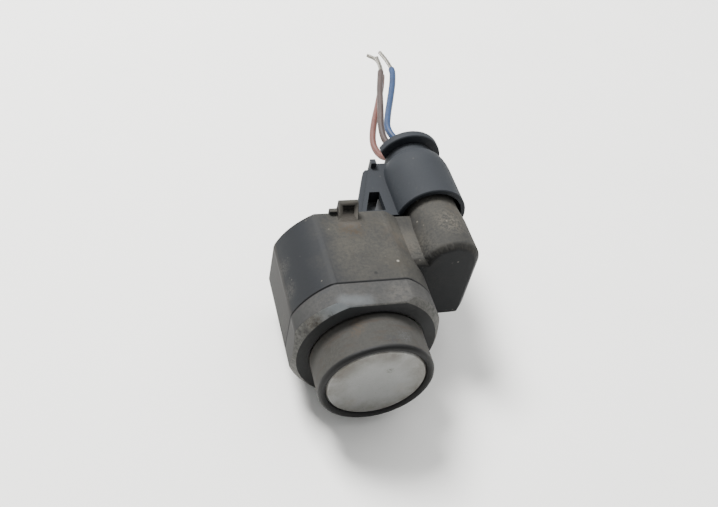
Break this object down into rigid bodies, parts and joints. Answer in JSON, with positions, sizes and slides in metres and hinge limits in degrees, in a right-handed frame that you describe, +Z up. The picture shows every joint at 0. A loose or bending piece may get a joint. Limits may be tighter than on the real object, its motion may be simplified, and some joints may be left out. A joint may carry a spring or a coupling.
{
  "type": "parking sensor",
  "caption": "Ultrasonic bumper parking sensor: flat-sided body with a round transducer nose, a side arm with a connector socket, and the latched plug of a cut-off wire tail.",
  "frame": {"origin": "centre of the collar's front face, on the transducer's axis", "axes": "+Z up, transducer faces -Y, side arm on +X"},
  "size_m": [0.0345, 0.0836, 0.0252],
  "materials": {
    "body_plastic": "dusty moulded",
    "collar_plastic": "scuffed moulded",
    "membrane_aluminium": "satin",
    "nose_rubber": "matte, dusty",
    "piezo_ceramic": "matte",
    "damping_rubber": "matte",
    "carrier_plastic": "moulded",
    "copper": "bright",
    "board_laminate": "satin",
    "chip_epoxy": "matte",
    "ferrite": "matte",
    "can_aluminium": "satin",
    "capacitor_ceramic": "matte",
    "contact_brass": "tinned",
    "plug_plastic": "fine matte",
    "seal_rubber": "matte",
    "lock_plastic": "moulded",
    "wire_red": "extruded",
    "wire_brown": "extruded",
    "wire_blue": "extruded"
  },
  "bodies": {
    "root": {"housing": "body_plastic", "front_collar": "collar_plastic", "membrane_pot": "membrane_aluminium", "decoupling_ring": "nose_rubber", "piezo_disc": "piezo_ceramic", "damping_pad": "damping_rubber", "transducer_carrier": "carrier_plastic", "piezo_leads": "copper", "circuit_board": "board_laminate", "control_chip": "chip_epoxy", "transformer_core": "ferrite", "transformer_winding": "copper", "filter_capacitor": "can_aluminium", "ceramic_capacitors": "capacitor_ceramic", "contact_pin_1": "contact_brass", "contact_pin_2": "contact_brass", "contact_pin_3": "contact_brass", "plug_housing": "plug_plastic", "plug_seal": "seal_rubber", "terminal_lock": "lock_plastic", "terminal_1": "contact_brass", "terminal_2": "contact_brass", "terminal_3": "contact_brass", "wire_seal": "seal_rubber", "rear_cap": "plug_plastic", "wire_red": "wire_red", "wire_brown": "wire_brown", "wire_blue": "wire_blue"}
  },
  "joints": []
}
